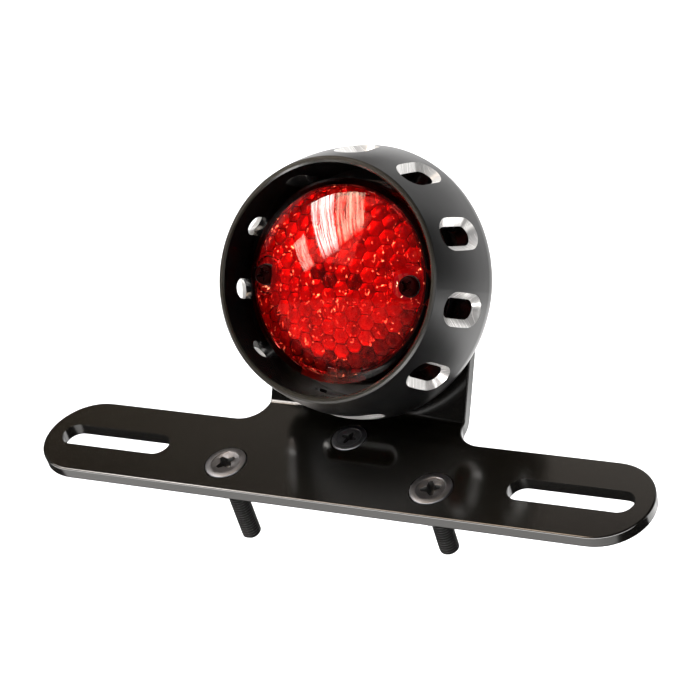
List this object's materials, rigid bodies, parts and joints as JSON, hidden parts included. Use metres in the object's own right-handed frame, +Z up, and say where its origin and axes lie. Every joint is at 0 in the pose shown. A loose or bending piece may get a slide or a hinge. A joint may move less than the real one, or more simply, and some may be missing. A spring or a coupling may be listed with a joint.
{
  "type": "motorcycle tail light",
  "caption": "Round red tail light in a slotted black aluminium bowl, carried on a bent number-plate bracket with long slots at both ends.",
  "frame": {"origin": "fender mount: midway between the two long mounting screws, on the underside of the bracket's flange", "axes": "+Z up, -Y the way the lens faces along the lamp's axis, +X to the right seen from behind the motorcycle, along the bracket's wings"},
  "size_m": [0.1684, 0.034, 0.1013],
  "materials": {
    "black_anodised": "satin black anodising over turned aluminium, with bare machined slot chamfers",
    "bracket_paint": "semi-gloss black paint on bent steel plate",
    "red_lens": "clear red moulded plastic with hexagonal optics",
    "clear_lens": "clear moulded plastic",
    "seal_rubber": "soft black rubber",
    "black_plastic": "black moulded plastic",
    "bright_plating": "vacuum-plated plastic reflector",
    "board": "green solder mask",
    "red_emitter": "red-tinted clear epoxy",
    "white_emitter": "white package with yellow phosphor",
    "chip": "black glazed ceramic with tinned ends",
    "black_steel": "black-oxide steel",
    "zinc_steel": "bright zinc-plated steel"
  },
  "bodies": {
    "root": {"housing": "black_anodised", "bracket": "bracket_paint", "lens": "red_lens", "plate_light_window": "clear_lens", "lens_gasket": "seal_rubber", "lens_screw_seals": "seal_rubber", "lens_screw_left": "black_steel", "lens_screw_right": "black_steel", "lamp_base": "black_plastic", "base_screws": "zinc_steel", "reflector": "bright_plating", "tail_leds": "red_emitter", "circuit_board": "board", "board_screws": "zinc_steel", "resistors": "chip", "wire_terminal": "black_plastic", "plate_light_board": "board", "plate_leds": "white_emitter", "cable_grommet": "seal_rubber", "rear_screws": "black_steel", "rear_washers": "zinc_steel", "rear_spring_washers": "zinc_steel", "mounting_screw_left": "black_steel", "mounting_screw_right": "black_steel", "centre_screw": "black_steel", "flat_washers": "zinc_steel", "mounting_nuts": "zinc_steel"}
  },
  "joints": []
}
